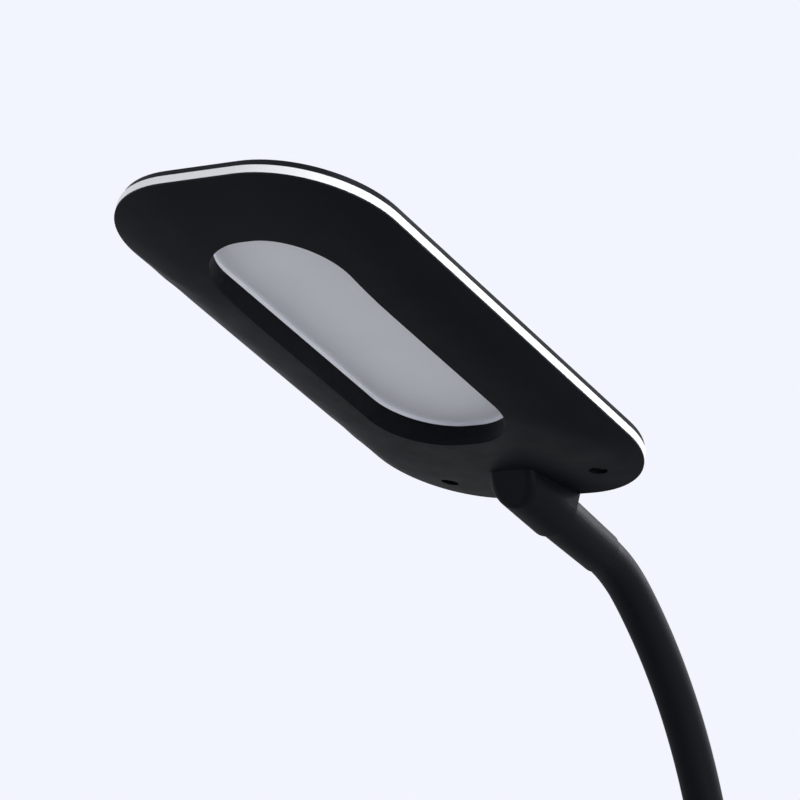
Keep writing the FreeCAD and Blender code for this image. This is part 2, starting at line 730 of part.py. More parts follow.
def pocket_outline(grow, z0, z1):
    """Block with the light pocket's plan outline, grown by a margin."""
    return rounded_block(
        POCKET_LENGTH + 2 * grow, POCKET_WIDTH + 2 * grow, POCKET_CORNER + grow,
        z0, z1, -POCKET_START - POCKET_LENGTH / 2,
    )


def outline_share(u, v):
    """Size of the head's outline, shrunk about its middle, that passes through a point."""
    half_length = HEAD_LENGTH / 2
    half_width = HEAD_WIDTH / 2
    along = abs(u - half_length)
    across = abs(v)
    centre_along = half_length - HEAD_CORNER
    centre_across = half_width - HEAD_CORNER
    product = centre_along * along + centre_across * across
    spread = centre_along ** 2 + centre_across ** 2 - HEAD_CORNER ** 2
    inside = product ** 2 - spread * (along ** 2 + across ** 2)
    if inside > 0:
        share = (product - math.sqrt(inside)) / spread
        if share > 0 and along >= share * centre_along and across >= share * centre_across:
            return share
    return max(along / half_length, across / half_width)


def underside_depth(u, v):
    """Depth of the dished underside at a distance u from the back end, v off the middle."""
    share = outline_share(u, v)
    if share == 0:
        return HOUSING_DEPTH
    sideways = abs(v) / (HEAD_WIDTH / 2 * share)
    power = DISH_POWER_ALONG + (DISH_POWER_ACROSS - DISH_POWER_ALONG) * sideways ** 2
    return HOUSING_LAND + (HOUSING_DEPTH - HOUSING_LAND) * (1 - share ** power)


def dish_block(lift):
    """Space above the dished underside, raised by a wall's thickness."""
    half_width = HEAD_WIDTH / 2 + DISH_OVERRUN
    half_length = HEAD_LENGTH / 2 + DISH_OVERRUN
    grid = []
    for i in range(DISH_COLUMNS + 1):
        x = half_width * (2 * i / DISH_COLUMNS - 1)
        row = []
        for j in range(DISH_ROWS + 1):
            u = HEAD_LENGTH / 2 + half_length * (2 * j / DISH_ROWS - 1)
            row.append(Vector(x, -u, lift - underside_depth(u, x)))
        grid.append(row)
    surface = Part.BSplineSurface()
    surface.interpolate(grid)
    return surface.toShape().extrude(Vector(0, 0, 2 * HOUSING_DEPTH))


def neck_boss(radius):
    """U-shaped body along the turning axis, up to the underside's middle plane."""
    barrel = Part.makeCylinder(radius, BOSS_START, Vector(0, 0, -BOSS_AXIS_DEPTH), -Y_AXIS)
    cheeks = box(-radius, radius, -BOSS_START, 0, -BOSS_AXIS_DEPTH, -HOUSING_LAND)
    lower = box(-radius, radius, -BOSS_START, 0, -BOSS_AXIS_DEPTH - radius, -BOSS_AXIS_DEPTH)
    return barrel.common(lower).fuse(cheeks).removeSplitter()


def face_cut(grow):
    """Everything in front of the boss's slanted face, moved out by a margin."""
    knife = box(-30, 30, -60, 60, -60, 0)
    knife.rotate(ORIGIN, X_AXIS, -BOSS_FACE_ANGLE)
    knife.translate(Vector(0, -BOSS_START, -underside_depth(BOSS_START, 0)))
    lean = math.radians(BOSS_FACE_ANGLE)
    knife.translate(Vector(0, -math.sin(lean), -math.cos(lean)) * grow)
    return knife


def neck_boss_body():
    """Boss with its slanted face and the rounding between that face and its sides."""
    body = neck_boss(BOSS_RADIUS).cut(face_cut(0))
    normal = Vector(0, -math.sin(math.radians(BOSS_FACE_ANGLE)), -math.cos(math.radians(BOSS_FACE_ANGLE)))
    front = [f for f in body.Faces if f.normalAt(0, 0).getAngle(normal) < 0.01][0]
    rim = [e for e in front.Edges if e.BoundBox.ZMin < -BOSS_AXIS_DEPTH - RUN_GAP]
    return body.makeFillet(BOSS_EDGE_FILLET, rim)


def head_screw_places():
    """The two screws that close the head, near its back end."""
    return [(side * HEAD_SCREW_SPACING / 2, -HEAD_SCREW_U) for side in (-1, 1)]


def head_lower_housing():
    """Lower shell: crowned underside, light pocket, neck boss and screw bosses."""
    skin = head_outline(0, -HOUSING_DEPTH - 1, 0).common(dish_block(0))
    hollow = head_outline(HOUSING_WALL, -HOUSING_DEPTH - 1, 1).common(dish_block(HOUSING_WALL))
    shell = skin.cut(hollow)
    keep = skin.common(pocket_outline(POCKET_WALL, -HOUSING_DEPTH - 1, POCKET_TOP_Z))
    outside = [shell, keep, neck_boss_body()]
    for x, y in head_screw_places():
        boss = cylinder(HEAD_BOSS_RADIUS, -HOUSING_DEPTH, COUNTERBORE_SEAT_Z + SEAT_THICKNESS, x, y)
        outside.append(boss.common(skin))
    solid = outside[0].multiFuse(outside[1:])
    cuts = [pocket_outline(0, -HOUSING_DEPTH - 2, 1)]
    bearing = Part.makeCylinder(SPIGOT_RADIUS + RUN_GAP, BOSS_START, Vector(0, 1, -BOSS_AXIS_DEPTH), -Y_AXIS)
    room = neck_boss(BOSS_CAVITY_RADIUS)
    room = room.fuse(box(-BOSS_CAVITY_RADIUS, BOSS_CAVITY_RADIUS, -BOSS_START, 0, -BOSS_AXIS_DEPTH, 1))
    room = room.cut(face_cut(-HOUSING_WALL)).cut(box(-30, 30, -BEARING_LENGTH, 1, -30, 5))
    passage = hollow.common(box(-3 * BOSS_CAVITY_RADIUS, 3 * BOSS_CAVITY_RADIUS,
                                -POCKET_START + 3 * POCKET_WALL, -BEARING_LENGTH - 3,
                                -HOUSING_DEPTH, 1))
    bearing = bearing.cut(face_cut(-HOUSING_WALL))
    cuts += [bearing, room, passage]
    for x, y in head_screw_places():
        cuts.append(cylinder(COUNTERBORE_RADIUS, -HOUSING_DEPTH - 2, COUNTERBORE_SEAT_Z, x, y))
        cuts.append(cylinder(HEAD_SCREW_SHANK_RADIUS + FIT_GAP, -HOUSING_DEPTH, 0, x, y))
    return solid.cut(Part.makeCompound(cuts))


def edge_light_band():
    """Translucent band between the shells, with a lip that stands inside the cover."""
    lip = head_outline(BAND_WIDTH - BAND_LIP_WIDTH, 0, BAND_HEIGHT + BAND_LIP_HEIGHT)
    inside = head_outline(BAND_WIDTH, -1, BAND_HEIGHT + 1)
    return head_outline(0, 0, BAND_HEIGHT).fuse(lip).cut(inside).removeSplitter()


def head_top_cover():
    """Thin upper shell with its two screw bosses."""
    top_z = BAND_HEIGHT + COVER_HEIGHT
    outer = head_outline(COVER_INSET, BAND_HEIGHT, top_z)
    rim = [e for e in outer.Edges if e.BoundBox.ZMin > top_z - 0.1]
    outer = outer.makeFillet(COVER_EDGE_FILLET, rim)
    cavity = head_outline(BAND_WIDTH - BAND_LIP_WIDTH - FIT_GAP, BAND_HEIGHT - 1, top_z - COVER_SKIN)
    shell = outer.cut(cavity)
    boss_foot = COUNTERBORE_SEAT_Z + SEAT_THICKNESS
    bosses = [cylinder(COVER_BOSS_RADIUS, boss_foot, top_z - COVER_SKIN / 2, x, y)
              for x, y in head_screw_places()]
    pilots = [cylinder(HEAD_SCREW_SHANK_RADIUS + RUN_GAP, boss_foot, top_z - COVER_SKIN, x, y)
              for x, y in head_screw_places()]
    return shell.multiFuse(bosses).cut(Part.makeCompound(pilots)).removeSplitter()


def head_screws():
    """The two screws whose heads sit deep in the underside's counterbores."""
    screws = []
    for x, y in head_screw_places():
        head = cylinder(HEAD_SCREW_HEAD_RADIUS, COUNTERBORE_SEAT_Z - HEAD_SCREW_HEAD_HEIGHT,
                        COUNTERBORE_SEAT_Z, x, y)
        shank = cylinder(HEAD_SCREW_SHANK_RADIUS, COUNTERBORE_SEAT_Z - 0.5,
                         COUNTERBORE_SEAT_Z + HEAD_SCREW_LENGTH, x, y)
        cross = [box(x - 1.3, x + 1.3, y - 0.3, y + 0.3, -20, COUNTERBORE_SEAT_Z - 0.8),
                 box(x - 0.3, x + 0.3, y - 1.3, y + 1.3, -20, COUNTERBORE_SEAT_Z - 0.8)]
        screws.append(fuse([head, shank]).cut(cross[0].fuse(cross[1])))
    return Part.makeCompound(screws)


def diffuser():
    """Milky dished panel seated on the pocket's wall."""
    face_z = POCKET_TOP_Z + DIFFUSER_STEP
    tray = pocket_outline(DIFFUSER_FLANGE, POCKET_TOP_Z, face_z + DIFFUSER_THICKNESS)
    return tray.cut(pocket_outline(0, POCKET_TOP_Z - 1, face_z))


def guide_z():
    """Lower face of the light guide, on the diffuser."""
    return POCKET_TOP_Z + DIFFUSER_STEP + DIFFUSER_THICKNESS


def light_guide():
    """Clear plate that spreads the light of the strips."""
    return pocket_outline(GUIDE_MARGIN, guide_z(), guide_z() + GUIDE_THICKNESS)


def reflector_sheet():
    """White film on the light guide's back."""
    z = guide_z() + GUIDE_THICKNESS
    return pocket_outline(GUIDE_MARGIN, z, z + REFLECTOR_THICKNESS)


def strip_face():
    """Distance from the middle to the inner face of each strip of light sources."""
    return POCKET_WIDTH / 2 + GUIDE_MARGIN + 0.15 + LED_DEPTH


def strip_top():
    """Upper edge of the strips, just below the heat spreader."""
    return guide_z() + GUIDE_THICKNESS + REFLECTOR_THICKNESS - 0.05


def led_strips():
    """Two narrow boards standing along the light guide's long edges."""
    middle = -POCKET_START - POCKET_LENGTH / 2
    strips = []
    for side in (-1, 1):
        inner = strip_face()
        lo, hi = sorted((side * inner, side * (inner + STRIP_THICKNESS)))
        strips.append(box(lo, hi, middle - STRIP_LENGTH / 2, middle + STRIP_LENGTH / 2,
                          strip_top() - STRIP_HEIGHT, strip_top()))
    return Part.makeCompound(strips)


def leds():
    """Light sources in a row on each strip, facing the light guide."""
    middle = -POCKET_START - POCKET_LENGTH / 2
    pitch = STRIP_LENGTH / LED_COUNT
    z = guide_z() + (GUIDE_THICKNESS - LED_HEIGHT) / 2
    chips = []
    for side in (-1, 1):
        lo, hi = sorted((side * (strip_face() - LED_DEPTH), side * strip_face()))
        for k in range(LED_COUNT):
            y = middle + (k - (LED_COUNT - 1) / 2) * pitch
            chips.append(box(lo, hi, y - LED_SIZE / 2, y + LED_SIZE / 2, z, z + LED_HEIGHT))
    return Part.makeCompound(chips)


def heat_spreader():
    """Folded aluminium sheet over the light guide, its two skirts holding the strips."""
    middle = -POCKET_START - POCKET_LENGTH / 2
    inner = strip_face() + STRIP_THICKNESS
    half = inner + SPREADER_THICKNESS
    low = guide_z() + GUIDE_THICKNESS + REFLECTOR_THICKNESS
    plate = box(-half, half, middle - STRIP_LENGTH / 2 - 8, middle + STRIP_LENGTH / 2 + 8,
                low, low + SPREADER_THICKNESS)
    skirts = []
    for side in (-1, 1):
        lo, hi = sorted((side * inner, side * half))
        skirts.append(box(lo, hi, middle - STRIP_LENGTH / 2, middle + STRIP_LENGTH / 2,
                          low - SPREADER_SKIRT, low + SPREADER_THICKNESS))
    return fuse([plate] + skirts)


def head_leads():
    """Two leads from the spigot to the ends of the strips."""
    start_y = -(spigot_front() - SLEEVE_LENGTH)
    end_y = -POCKET_START - POCKET_LENGTH / 2 + STRIP_LENGTH / 2
    x_end = strip_face() + STRIP_THICKNESS / 2
    z = POCKET_TOP_Z - 0.3
    leads = []
    for side in (-1, 1):
        leads.append(routed_lead(
            [
                Vector(side * 0.8, start_y - FIT_GAP, -BOSS_AXIS_DEPTH),
                Vector(side * 0.8, start_y - 2.2, -BOSS_AXIS_DEPTH),
                Vector(side * 2.6, start_y - 3.0, z),
                Vector(side * x_end, end_y + 10, z),
                Vector(side * x_end, end_y + FIT_GAP, z),
            ],
            WIRE_RADIUS, 1.0,
        ))
    return Part.makeCompound(leads)


def head_in_end_frame():
    """The head's frame seen from the last joint: its -Y runs along the joint's +Z."""
    turned = Rotation(X_AXIS, -90)
    origin = turned.multVec(Vector(0, -SLEEVE_LENGTH, BOSS_AXIS_DEPTH))
    return Placement(origin, turned)


def main():
    """Build and write every piece."""
    save("anti_slip_pad", anti_slip_pad())
    save("base_floor", base_floor())
    save("ballast_plate", ballast_plate())
    save("base_top_shell", base_top_shell())
    save("base_screws", base_screws())
    save("power_button", power_button())
    save("tactile_switch", tactile_switch())
    save("button_return_boot", button_return_boot())
    save("control_board", control_board())
    save("board_components", board_components())
    save("board_screws", board_screws())
    save("power_inlet", power_inlet())
    save("inlet_board", inlet_board())
    save("base_leads", base_leads())
    save("neck_root_fitting", neck_root_fitting())
    save("neck_base_collar", neck_base_collar())
    save("neck_anchor_nut", neck_anchor_nut())

    frames = neck_frames()
    for number, (length, turn) in enumerate(NECK_LINKS, 1):
        for label, shape in (
            ("core", core_link(length, turn)),
            ("skin", skin_link(length, turn)),
            ("lead", lead_link(length, turn)),
        ):
            shape.Placement = frames[number - 1].multiply(shape.Placement)
            save("neck_%s_%d" % (label, number), shape)

    end_frame = frames[-1]
    for name, shape in (
        ("neck_end_fitting", neck_end_fitting()),
        ("neck_top_sleeve", neck_top_sleeve()),
        ("swivel_washer", swivel_washer()),
        ("swivel_retaining_ring", swivel_retaining_ring()),
        ("neck_end_lead", end_lead()),
    ):
        shape.Placement = end_frame.multiply(shape.Placement)
        save(name, shape)

    head_frame = end_frame.multiply(head_in_end_frame())
    for name, shape in (
        ("head_lower_housing", head_lower_housing()),
        ("edge_light_band", edge_light_band()),
        ("head_top_cover", head_top_cover()),
        ("head_screws", head_screws()),
        ("diffuser", diffuser()),
        ("light_guide", light_guide()),
        ("reflector_sheet", reflector_sheet()),
        ("led_strips", led_strips()),
        ("leds", leds()),
        ("heat_spreader", heat_spreader()),
        ("head_leads", head_leads()),
    ):
        shape.Placement = head_frame.multiply(shape.Placement)
        save(name, shape)


main()
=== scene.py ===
# Looks of the gooseneck desk lamp: materials, the neck's skin, light and camera.

import math

import bpy
from mathutils import Matrix, Vector


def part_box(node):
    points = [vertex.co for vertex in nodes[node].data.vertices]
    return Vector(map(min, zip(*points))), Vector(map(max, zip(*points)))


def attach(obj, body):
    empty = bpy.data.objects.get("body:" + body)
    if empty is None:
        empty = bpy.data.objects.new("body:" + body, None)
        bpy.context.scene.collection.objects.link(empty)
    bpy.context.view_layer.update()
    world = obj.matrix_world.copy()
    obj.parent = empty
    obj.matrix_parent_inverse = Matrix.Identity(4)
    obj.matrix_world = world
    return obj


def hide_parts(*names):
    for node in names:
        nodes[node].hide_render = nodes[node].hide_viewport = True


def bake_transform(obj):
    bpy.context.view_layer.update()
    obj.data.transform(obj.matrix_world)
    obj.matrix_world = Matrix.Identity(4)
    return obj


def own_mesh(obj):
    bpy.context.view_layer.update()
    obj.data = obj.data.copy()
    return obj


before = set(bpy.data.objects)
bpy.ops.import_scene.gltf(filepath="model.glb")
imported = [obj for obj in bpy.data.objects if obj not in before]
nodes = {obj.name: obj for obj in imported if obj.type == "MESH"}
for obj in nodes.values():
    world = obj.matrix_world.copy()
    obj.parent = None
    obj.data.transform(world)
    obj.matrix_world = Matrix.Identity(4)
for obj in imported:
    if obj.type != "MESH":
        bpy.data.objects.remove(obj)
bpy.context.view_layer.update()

MM = 0.001

# The neck's centreline: root, then each link's length in mm and its turn in degrees
NECK_ROOT = Vector((0, 42, 44)) * MM
NECK_LINKS = (
    (33.0, 0.0),
    (33.0, 0.0),
    (33.0, 0.0),
    (33.0, 5.4),
    (33.0, 8.0),
    (33.0, 10.0),
    (33.0, 11.2),
    (33.0, 11.4),
    (20.0, 22.44),
)
LINK_NUMBERS = range(1, len(NECK_LINKS) + 1)

# The neck's skin: size, how far it reaches into the collar, and how far each bend spreads
SKIN_RADIUS = 6.0 * MM
SKIN_SEGMENTS = 56
SKIN_RING_STEP = 1.4 * MM
SKIN_LEAST_RINGS = 4
COLLAR_MOUTH = 4.3 * MM
BEND_REACH = 11.0 * MM

# The button's silicone ring
RING_WALL = 1.0 * MM
RING_SEGMENTS = 48

# Surface texture: noise scales per metre, the noise's useful range, and how far gloss wanders
TONE_SCALE = 38.0
GLOSS_SCALE = 120.0
HAZE_SCALE = 60.0
FINE_GRAIN = 2600.0
MACHINING_MARKS = 900.0
NOISE_LOW = 0.3
NOISE_HIGH = 0.7
PLASTIC_GLOSS_DRIFT = 0.04
METAL_GLOSS_DRIFT = 0.07
CLEAR_GLOSS_DRIFT = 0.05
HAZE_SHADE = 0.96

# Soft-touch black: its two tones, its gloss and the cool tint of its shine
SOFT_DARK = (0.0046, 0.0053, 0.0070)
SOFT_LIGHT = (0.0058, 0.0066, 0.0086)
SOFT_ROUGHNESS = 0.45
SOFT_SPECULAR = 0.08
SOFT_SHINE = (0.84, 0.92, 1.0)

# Background: its colour, the floor's, and where the floor fades into it, in metres from the lamp
BACKGROUND = (0.896, 0.913, 0.991)
FLOOR_PALE = (0.70, 0.71, 0.74)
FLOOR_DARK_GREY = (0.39, 0.39, 0.40)
FLOOR_LIGHT_GREY = (0.41, 0.41, 0.42)
FLOOR_HALF_WIDTH = 3.0
FADE_START = 0.35
FADE_STOP = 1.1

# Light: the surround, then each softbox's name, place, target, width, height and power
SURROUND = (0.62, 0.64, 0.68)
SURROUND_STRENGTH = 0.55
SOFTBOXES = (
    ("key", (1.3, -0.2, 0.9), (0, -0.1, 0.3), 0.9, 0.9, 14.0),
    ("back", (0.6, 1.3, 1.0), (0, 0, 0.25), 1.0, 0.7, 12.0),
    ("top", (-0.3, -0.3, 1.7), (0, -0.1, 0.3), 1.4, 1.4, 12.0),
    ("low side", (-1.2, -0.55, 0.16), (0, -0.14, 0.33), 1.0, 0.24, 3.0),
    ("low front", (1.25, -0.5, 0.2), (0, -0.05, 0.3), 0.8, 0.3, 4.0),
)

# Where the photograph was taken from, in degrees and millimetres
HEAD_ORIGIN = Vector((0, -52.312, 319.773)) * MM
CAMERA_OFFSET = Vector((646.4, -985.6, -129.2)) * MM
CAMERA_AZIMUTH = 35.48
CAMERA_ELEVATION = -7.58
CAMERA_LENS = 183.84
SENSOR_WIDTH = 36.0
CLIP_START = 0.01


# Materials

def start_material(name):
    """New node material with a Principled shader on its output."""
    material = bpy.data.materials.new(name)
    material.use_nodes = True
    tree = material.node_tree
    tree.nodes.clear()
    output = tree.nodes.new("ShaderNodeOutputMaterial")
    shader = tree.nodes.new("ShaderNodeBsdfPrincipled")
    tree.links.new(shader.outputs["BSDF"], output.inputs["Surface"])
    return material, tree, shader


def noise(tree, scale, detail=2.0, stretch=(1, 1, 1)):
    """Noise in the object's own metres."""
    place = tree.nodes.new("ShaderNodeTexCoord")
    mapping = tree.nodes.new("ShaderNodeMapping")
    mapping.inputs["Scale"].default_value = stretch
    texture = tree.nodes.new("ShaderNodeTexNoise")
    texture.inputs["Scale"].default_value = scale
    texture.inputs["Detail"].default_value = detail
    tree.links.new(place.outputs["Object"], mapping.inputs["Vector"])
    tree.links.new(mapping.outputs["Vector"], texture.inputs["Vector"])
    return texture.outputs["Fac"]


def spread(tree, source, low, high):
    """Noise remapped to a range."""
    remap = tree.nodes.new("ShaderNodeMapRange")
    remap.inputs["From Min"].default_value = NOISE_LOW
    remap.inputs["From Max"].default_value = NOISE_HIGH
    remap.inputs["To Min"].default_value = low
    remap.inputs["To Max"].default_value = high
    tree.links.new(source, remap.inputs["Value"])
    return remap.outputs["Result"]


def tint(tree, source, dark, light):
    """Colour that wanders between two tones."""
    mix = tree.nodes.new("ShaderNodeMix")
    mix.data_type = "RGBA"
    mix.inputs["A"].default_value = (*dark, 1)
    mix.inputs["B"].default_value = (*light, 1)
    tree.links.new(spread(tree, source, 0, 1), mix.inputs["Factor"])
    return mix.outputs["Result"]


def bump(tree, shader, source, depth):
    """Surface relief from a texture, depth in metres."""
    relief = tree.nodes.new("ShaderNodeBump")
    relief.inputs["Strength"].default_value = 1.0
    relief.inputs["Distance"].default_value = depth
    tree.links.new(source, relief.inputs["Height"])
    tree.links.new(relief.outputs["Normal"], shader.inputs["Normal"])


def gloss(tree, shader, source, low, high):
    """Roughness that wanders between two values."""
    tree.links.new(spread(tree, source, low, high), shader.inputs["Roughness"])


def moulded(name, dark, light, roughness, grain=FINE_GRAIN, depth=0.00002, specular=0.5, shine=(1, 1, 1)):
    """Moulded plastic or rubber: fine grain, patchy gloss and a slight drift of tone."""
    material, tree, shader = start_material(name)
    drift = noise(tree, TONE_SCALE, 3.0)
    tree.links.new(tint(tree, drift, dark, light), shader.inputs["Base Color"])
    patches = noise(tree, GLOSS_SCALE, 4.0)
    gloss(tree, shader, patches, roughness - PLASTIC_GLOSS_DRIFT, roughness + PLASTIC_GLOSS_DRIFT)
    bump(tree, shader, noise(tree, grain, 1.5), depth)
    shader.inputs["Specular IOR Level"].default_value = specular
    shader.inputs["Specular Tint"].default_value = (*shine, 1)
    return material


def metal(name, dark, light, roughness, grain=MACHINING_MARKS, stretch=(1, 1, 1), depth=0.00001):
    """Plated or machined metal with fine marks."""
    material, tree, shader = start_material(name)
    marks = noise(tree, grain, 3.0, stretch)
    tree.links.new(tint(tree, marks, dark, light), shader.inputs["Base Color"])
    gloss(tree, shader, marks, roughness - METAL_GLOSS_DRIFT, roughness + METAL_GLOSS_DRIFT)
    bump(tree, shader, marks, depth)
    shader.inputs["Metallic"].default_value = 1.0
    return material


def clear_plastic(name, colour, roughness):
    """Clear acrylic with faint haze."""
    material, tree, shader = start_material(name)
    haze = noise(tree, HAZE_SCALE)
    shade = [c * HAZE_SHADE for c in colour]
    tree.links.new(tint(tree, haze, shade, colour), shader.inputs["Base Color"])
    gloss(tree, shader, haze, roughness, roughness + CLEAR_GLOSS_DRIFT)
    shader.inputs["Transmission Weight"].default_value = 0.9
    shader.inputs["IOR"].default_value = 1.49
    return material


def soft_black(name):
    """Soft-touch black, as on the shells and the neck."""
    return moulded(name, SOFT_DARK, SOFT_LIGHT, SOFT_ROUGHNESS, specular=SOFT_SPECULAR, shine=SOFT_SHINE)


def assign(material, *names):
    """Give CAD nodes or pieces one material in every slot."""
    for name in names:
        thing = nodes[name] if isinstance(name, str) else name
        if not thing.material_slots:
            thing.data.materials.append(material)
        for slot in thing.material_slots:
            slot.material = material


soft_touch = soft_black("soft_touch_black")
skin_black = soft_black("skin_black")
white_band = moulded("milky_band", (0.80, 0.81, 0.83), (0.84, 0.85, 0.87), 0.35, depth=0.000005)
opal = moulded("opal_diffuser", (0.84, 0.86, 0.91), (0.88, 0.90, 0.95), 0.45, grain=1500.0, depth=0.000006)
soft_pad = moulded("soft_pad", (0.020, 0.020, 0.021), (0.028, 0.028, 0.030), 0.8, grain=1400.0,
                   depth=0.00006)
floor_plastic = moulded("floor_plastic", (0.025, 0.025, 0.027), (0.032, 0.032, 0.034), 0.6, grain=1600.0,
                        depth=0.00005)
silicone = moulded("milky_silicone", (0.62, 0.62, 0.61), (0.68, 0.68, 0.67), 0.5)
button_black = moulded("button_black", (0.030, 0.030, 0.032), (0.036, 0.036, 0.038), 0.35)
switch_black = moulded("switch_black", (0.03, 0.03, 0.03), (0.05, 0.05, 0.05), 0.4)
laminate = moulded("green_laminate", (0.012, 0.070, 0.030), (0.018, 0.095, 0.042), 0.35, grain=900.0)
white_laminate = moulded("white_laminate", (0.74, 0.74, 0.72), (0.80, 0.80, 0.78), 0.4)
film = moulded("reflector_film", (0.86, 0.86, 0.86), (0.90, 0.90, 0.90), 0.3, depth=0.000004)
phosphor = moulded("phosphor", (0.76, 0.60, 0.14), (0.84, 0.68, 0.20), 0.4)
red_lead = moulded("red_lead", (0.36, 0.020, 0.016), (0.42, 0.028, 0.022), 0.4)
black_lead = moulded("black_lead", (0.018, 0.018, 0.019), (0.025, 0.025, 0.026), 0.45)
washer_white = moulded("washer_polymer", (0.66, 0.65, 0.61), (0.72, 0.71, 0.67), 0.4)
plated = metal("plated_steel", (0.50, 0.50, 0.51), (0.60, 0.60, 0.61), 0.3)
black_steel = metal("black_steel", (0.10, 0.10, 0.105), (0.16, 0.16, 0.165), 0.35)
rolled = metal("rolled_plate", (0.34, 0.34, 0.345), (0.44, 0.44, 0.445), 0.45, 400.0, (1, 0.04, 1), 0.00003)
machined = metal("machined_steel", (0.50, 0.50, 0.505), (0.58, 0.58, 0.585), 0.28, 1500.0, (1, 1, 8))
wound = metal("wound_steel", (0.36, 0.36, 0.365), (0.48, 0.48, 0.485), 0.35, 700.0, (0.2, 0.2, 6))
sheet = metal("sheet_aluminium", (0.66, 0.67, 0.68), (0.74, 0.75, 0.76), 0.35, 600.0, (1, 0.05, 1))
acrylic = clear_plastic("clear_acrylic", (0.93, 0.96, 0.97), 0.05)

assign(soft_touch, "head_lower_housing", "head_top_cover", "neck_top_sleeve", "neck_base_collar",
       "base_top_shell")
assign(white_band, "edge_light_band")
assign(opal, "diffuser")
assign(soft_pad, "anti_slip_pad")
assign(floor_plastic, "base_floor")
assign(button_black, "power_button")
assign(switch_black, "tactile_switch", "board_components")
assign(laminate, "control_board", "inlet_board")
assign(white_laminate, "led_strips")
assign(film, "reflector_sheet")
assign(phosphor, "leds")
assign(red_lead, "base_leads", "head_leads")
assign(black_lead, "neck_end_lead", *("neck_lead_%d" % k for k in LINK_NUMBERS))
assign(washer_white, "swivel_washer")
assign(plated, "base_screws", "board_screws", "neck_anchor_nut", "power_inlet")
assign(black_steel, "head_screws", "swivel_retaining_ring")
assign(rolled, "ballast_plate")
assign(machined, "neck_root_fitting", "neck_end_fitting")
assign(wound, *("neck_core_%d" % k for k in LINK_NUMBERS))
assign(sheet, "heat_spreader")
assign(acrylic, "light_guide")


# Pieces

def new_piece(name, points, faces, material):
    """Object from points and faces, with its material."""
    mesh = bpy.data.meshes.new(name)
    mesh.from_pydata(points, [], faces)
    piece = bpy.data.objects.new(name, mesh)
    bpy.context.scene.collection.objects.link(piece)
    assign(material, piece)
    return piece


def neck_frame(distance):
    """Centre and rotation of the neck's centreline at a distance from its root."""
    start = Matrix.Translation(NECK_ROOT)
    left = distance
    for length, turn in NECK_LINKS:
        length *= MM
        part = min(left, length)
        if turn and part > 0:
            angle = math.radians(turn) * part / length
            radius = length / math.radians(turn)
            shift = Vector((0, radius * (math.cos(angle) - 1), radius * math.sin(angle)))
            start = start @ Matrix.Translation(shift) @ Matrix.Rotation(angle, 4, "X")
        else:
            start = start @ Matrix.Translation((0, 0, part))
        left -= part
        if left <= 0:
            break
    return start @ Matrix.Translation((0, 0, max(left, 0)))


def skin_tube(name, start, stop):
    """Smooth open tube round the neck between two distances."""
    rings = max(SKIN_LEAST_RINGS, round((stop - start) / SKIN_RING_STEP))
    points = []
    faces = []
    for r in range(rings + 1):
        place = neck_frame(start + (stop - start) * r / rings)
        for k in range(SKIN_SEGMENTS):
            angle = 2 * math.pi * k / SKIN_SEGMENTS
            points.append(place @ Vector((SKIN_RADIUS * math.cos(angle), SKIN_RADIUS * math.sin(angle), 0)))
    for r in range(rings):
        for k in range(SKIN_SEGMENTS):
            here = r * SKIN_SEGMENTS + k
            beside = r * SKIN_SEGMENTS + (k + 1) % SKIN_SEGMENTS
            faces.append((here, beside, beside + SKIN_SEGMENTS, here + SKIN_SEGMENTS))
    piece = new_piece(name, points, faces, skin_black)
    piece.data.shade_smooth()
    return piece


def build_neck_skin():
    """One length of skin over each joint, from the middle of a link to the middle of the next."""
    joints = [0.0]
    for length, _turn in NECK_LINKS:
        joints.append(joints[-1] + length * MM)
    last = len(NECK_LINKS)
    for k, at in enumerate(joints):
        start = (joints[k - 1] + at) / 2 if k else -COLLAR_MOUTH
        stop = (at + joints[k + 1]) / 2 if k < last else at
        piece = skin_tube("neck_skin_bend_%d" % k, start, stop)
        bend_start = max(at - BEND_REACH, start) if k else at
        bend_stop = min(at + BEND_REACH, stop) if k < last else at
        neck_frame(bend_stop).translation
        neck_frame(bend_start).translation
        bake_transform(piece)
        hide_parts("neck_skin_%d" % min(k + 1, last))


def build_return_ring():
    """Silicone ring on the board, built in the return boot's place."""
    low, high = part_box("button_return_boot")
    middle = (Vector(low) + Vector(high)) / 2
    foot = (high[0] - low[0]) / 2
    inner = foot - 2 * RING_WALL
    profile = (
        (inner, low[2]),
        (foot, low[2]),
        (foot, low[2] + RING_WALL),
        (inner + RING_WALL, high[2]),
        (inner, high[2]),
    )
    count = len(profile)
    points = []
    faces = []
    for s in range(RING_SEGMENTS):
        angle = 2 * math.pi * s / RING_SEGMENTS
        beside = (s + 1) % RING_SEGMENTS
        for k, (radius, height) in enumerate(profile):
            above = (k + 1) % count
            points.append((middle.x + radius * math.cos(angle), middle.y + radius * math.sin(angle), height))
            faces.append((s * count + k, beside * count + k, beside * count + above, s * count + above))
    piece = new_piece("button_ring", points, faces, silicone)
    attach(piece, "base")
    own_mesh(piece)
    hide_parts("button_return_boot")


build_neck_skin()
build_return_ring()


# Floor, light and camera

def mixed(tree, factor, first, second):
    """Shader that goes from the first to the second as the factor rises."""
    mix = tree.nodes.new("ShaderNodeMixShader")
    tree.links.new(factor, mix.inputs[0])
    tree.links.new(first, mix.inputs[1])
    tree.links.new(second, mix.inputs[2])
    return mix.outputs[0]


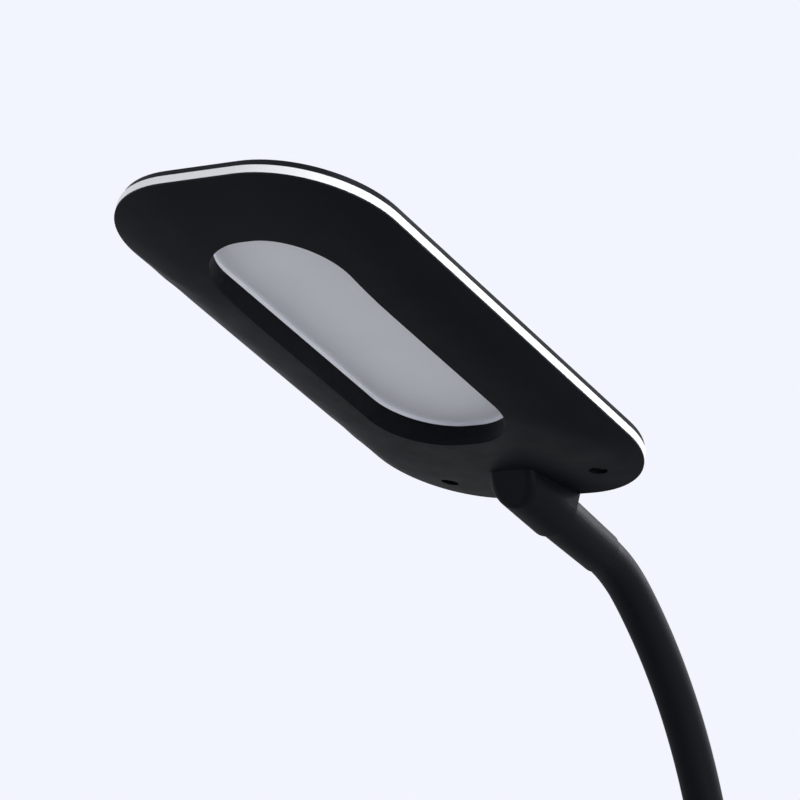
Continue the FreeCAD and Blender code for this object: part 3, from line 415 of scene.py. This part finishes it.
def seen_directly(tree, *more):
    """One for camera rays, for rays through clear plastic, and for any others named."""
    path = tree.nodes.new("ShaderNodeLightPath")
    result = path.outputs["Is Camera Ray"]
    for kind in ("Is Transmission Ray", *more):
        either = tree.nodes.new("ShaderNodeMath")
        either.operation = "MAXIMUM"
        tree.links.new(result, either.inputs[0])
        tree.links.new(path.outputs[kind], either.inputs[1])
        result = either.outputs[0]
    return result


def away_from_lamp(tree):
    """Zero under the lamp, one where the floor has faded into the background."""
    place = tree.nodes.new("ShaderNodeTexCoord")
    length = tree.nodes.new("ShaderNodeVectorMath")
    length.operation = "LENGTH"
    tree.links.new(place.outputs["Object"], length.inputs[0])
    fade = tree.nodes.new("ShaderNodeMapRange")
    fade.interpolation_type = "SMOOTHSTEP"
    fade.inputs["From Min"].default_value = FADE_START
    fade.inputs["From Max"].default_value = FADE_STOP
    tree.links.new(length.outputs["Value"], fade.inputs["Value"])
    return fade.outputs["Result"]


def floor_material():
    """Pale to the camera, and a plain grey to the light that it throws back up."""
    material = moulded("pale_floor", FLOOR_DARK_GREY, FLOOR_LIGHT_GREY, 0.8, grain=300.0, specular=0.0)
    tree = material.node_tree
    grey = next(n for n in tree.nodes if n.type == "BSDF_PRINCIPLED")
    output = next(n for n in tree.nodes if n.type == "OUTPUT_MATERIAL")
    pale = tree.nodes.new("ShaderNodeBsdfDiffuse")
    pale.inputs["Color"].default_value = (*FLOOR_PALE, 1)
    far = tree.nodes.new("ShaderNodeEmission")
    far.inputs["Color"].default_value = (*BACKGROUND, 1)
    seen = mixed(tree, away_from_lamp(tree), pale.outputs[0], far.outputs[0])
    tree.links.new(mixed(tree, seen_directly(tree), grey.outputs[0], seen), output.inputs["Surface"])
    return material


def add_floor():
    """Pale table top under the lamp."""
    half = FLOOR_HALF_WIDTH
    corners = [(-half, -half, 0), (half, -half, 0), (half, half, 0), (-half, half, 0)]
    floor = new_piece("floor", corners, [(0, 1, 2, 3)], floor_material())


def add_world():
    """Soft surround: plain light on the object, a pale blue-white for the camera."""
    world = bpy.data.worlds.new("studio")
    bpy.context.scene.world = world
    world.use_nodes = True
    tree = world.node_tree
    tree.nodes.clear()
    output = tree.nodes.new("ShaderNodeOutputWorld")
    light = tree.nodes.new("ShaderNodeBackground")
    light.inputs["Color"].default_value = (*SURROUND, 1)
    light.inputs["Strength"].default_value = SURROUND_STRENGTH
    seen = tree.nodes.new("ShaderNodeBackground")
    seen.inputs["Color"].default_value = (*BACKGROUND, 1)
    surface = mixed(tree, seen_directly(tree, "Is Glossy Ray"), light.outputs[0], seen.outputs[0])
    tree.links.new(surface, output.inputs["Surface"])


def add_softbox(name, place, target, width, height, power):
    """Rectangular softbox aimed at a point."""
    data = bpy.data.lights.new(name, "AREA")
    data.shape = "RECTANGLE"
    data.size = width
    data.size_y = height
    data.energy = power
    lamp = bpy.data.objects.new(name, data)
    lamp.location = place
    aim = Vector(target) - Vector(place)
    lamp.rotation_euler = aim.to_track_quat("-Z", "Y").to_euler()
    bpy.context.scene.collection.objects.link(lamp)


def add_camera():
    """Camera at the photograph's place and angle, level."""
    data = bpy.data.cameras.new("camera")
    data.lens = CAMERA_LENS
    data.sensor_width = SENSOR_WIDTH
    data.clip_start = CLIP_START
    camera = bpy.data.objects.new("camera", data)
    camera.location = HEAD_ORIGIN + CAMERA_OFFSET
    camera.rotation_euler = (math.radians(90 - CAMERA_ELEVATION), 0, math.radians(CAMERA_AZIMUTH))
    bpy.context.scene.collection.objects.link(camera)
    bpy.context.scene.camera = camera


bpy.context.scene.view_settings.view_transform = "Standard"
add_floor()
add_world()
for softbox in SOFTBOXES:
    add_softbox(*softbox)
add_camera()
